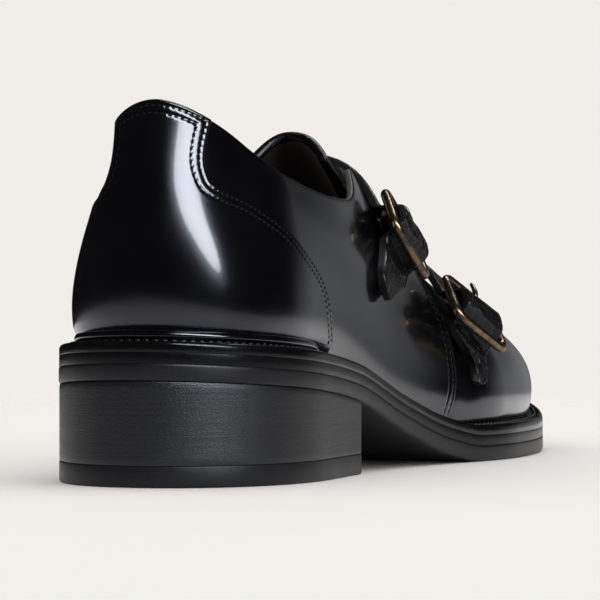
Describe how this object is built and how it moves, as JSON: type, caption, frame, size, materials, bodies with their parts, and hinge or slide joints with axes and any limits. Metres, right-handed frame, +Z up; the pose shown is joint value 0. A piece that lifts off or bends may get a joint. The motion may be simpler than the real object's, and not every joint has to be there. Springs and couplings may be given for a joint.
{
  "type": "buckle shoe",
  "caption": "Glossy black leather right shoe with buckled straps over the instep, a tongue, a stitched welt and a low block heel.",
  "frame": {"origin": "on the floor, under the middle of the shoe's bounding box", "axes": "+Y towards the toe, +X towards the outer side of the right foot where the buckles are, +Z up"},
  "size_m": [0.0932, 0.268, 0.0908],
  "materials": {
    "upper": "polished",
    "counter": "polished",
    "tongue": "satin",
    "strap_upper": "polished",
    "strap_lower": "polished",
    "tab_upper": "satin",
    "tab_lower": "satin",
    "seat_bead": "satin",
    "welt": "satin",
    "midsole": "satin",
    "heel_block": "semi matte, fine level lines of the stacked layers",
    "insole": "matte",
    "outsole": "matte",
    "top_lift": "matte",
    "buckle_upper": "antique, worn dark in the hollows",
    "buckle_lower": "antique, worn dark in the hollows",
    "prong_upper": "antique, worn dark in the hollows",
    "prong_lower": "antique, worn dark in the hollows"
  },
  "bodies": {
    "root": {"upper": "upper", "counter": "counter", "tongue": "tongue", "strap_upper": "strap_upper", "strap_lower": "strap_lower", "tab_upper": "tab_upper", "tab_lower": "tab_lower", "seat_bead": "seat_bead", "welt": "welt", "midsole": "midsole", "heel_block": "heel_block", "insole": "insole", "outsole": "outsole", "top_lift": "top_lift", "buckle_upper": "buckle_upper", "buckle_lower": "buckle_lower", "prong_upper": "prong_upper", "prong_lower": "prong_lower"}
  },
  "joints": []
}
